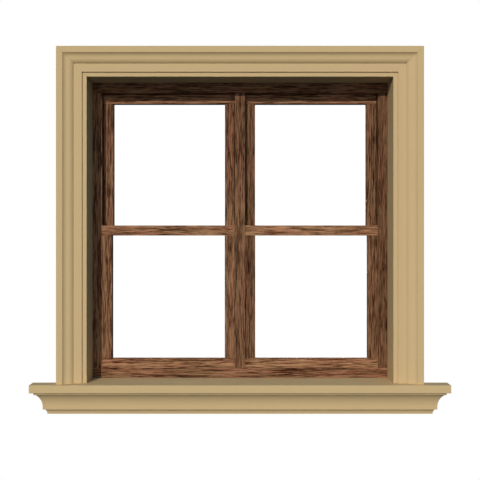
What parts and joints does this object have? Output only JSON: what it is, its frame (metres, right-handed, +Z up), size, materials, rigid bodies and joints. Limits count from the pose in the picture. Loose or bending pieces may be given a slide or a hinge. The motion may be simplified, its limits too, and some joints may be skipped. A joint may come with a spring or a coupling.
{
  "type": "window surround",
  "caption": "Moulded stone window surround on a moulded sill, lining its opening, with a dark timber frame and glazed sashes that slide up and down.",
  "frame": {"origin": "centre of the back of the sill's apron, on the wall's face", "axes": "+Z up, +X to the right as seen from in front, +Y into the wall"},
  "size_m": [1.657, 0.243, 1.4603],
  "materials": {
    "surround_stone": "smooth matte buff cast stone",
    "sill_stone": "smooth matte buff cast stone",
    "frame_timber": "dark stained, open streaky grain",
    "sash_rail_timber": "brown stained, streaky grain along the rail",
    "sash_stile_timber": "brown stained, streaky grain along the stile",
    "pane_glass": "clear window glass"
  },
  "bodies": {
    "surround": {"surround_head": "surround_stone", "surround_jamb_left": "surround_stone", "surround_jamb_right": "surround_stone", "sill": "sill_stone", "frame_head": "frame_timber", "frame_bottom_rail": "frame_timber", "frame_jamb_left": "frame_timber", "frame_jamb_right": "frame_timber", "frame_mullion": "frame_timber"},
    "lower_sash_left": {"lower_sash_left_bottom_rail": "sash_rail_timber", "lower_sash_left_top_rail": "sash_rail_timber", "lower_sash_left_stile_left": "sash_stile_timber", "lower_sash_left_stile_right": "sash_stile_timber", "lower_sash_left_glass": "pane_glass"},
    "lower_sash_right": {"lower_sash_right_bottom_rail": "sash_rail_timber", "lower_sash_right_top_rail": "sash_rail_timber", "lower_sash_right_stile_left": "sash_stile_timber", "lower_sash_right_stile_right": "sash_stile_timber", "lower_sash_right_glass": "pane_glass"},
    "upper_sash_left": {"upper_sash_left_bottom_rail": "sash_rail_timber", "upper_sash_left_top_rail": "sash_rail_timber", "upper_sash_left_stile_left": "sash_stile_timber", "upper_sash_left_stile_right": "sash_stile_timber", "upper_sash_left_glass": "pane_glass"},
    "upper_sash_right": {"upper_sash_right_bottom_rail": "sash_rail_timber", "upper_sash_right_top_rail": "sash_rail_timber", "upper_sash_right_stile_left": "sash_stile_timber", "upper_sash_right_stile_right": "sash_stile_timber", "upper_sash_right_glass": "pane_glass"}
  },
  "joints": [
    {"name": "lower_left_slide", "type": "slide", "parent": "surround", "child": "lower_sash_left", "axis": [0, 0, 1], "range_m": [0, 0.545]},
    {"name": "lower_right_slide", "type": "slide", "parent": "surround", "child": "lower_sash_right", "axis": [0, 0, 1], "range_m": [0, 0.545]},
    {"name": "upper_left_slide", "type": "slide", "parent": "surround", "child": "upper_sash_left", "axis": [0, 0, -1], "range_m": [0, 0.545]},
    {"name": "upper_right_slide", "type": "slide", "parent": "surround", "child": "upper_sash_right", "axis": [0, 0, -1], "range_m": [0, 0.545]}
  ]
}
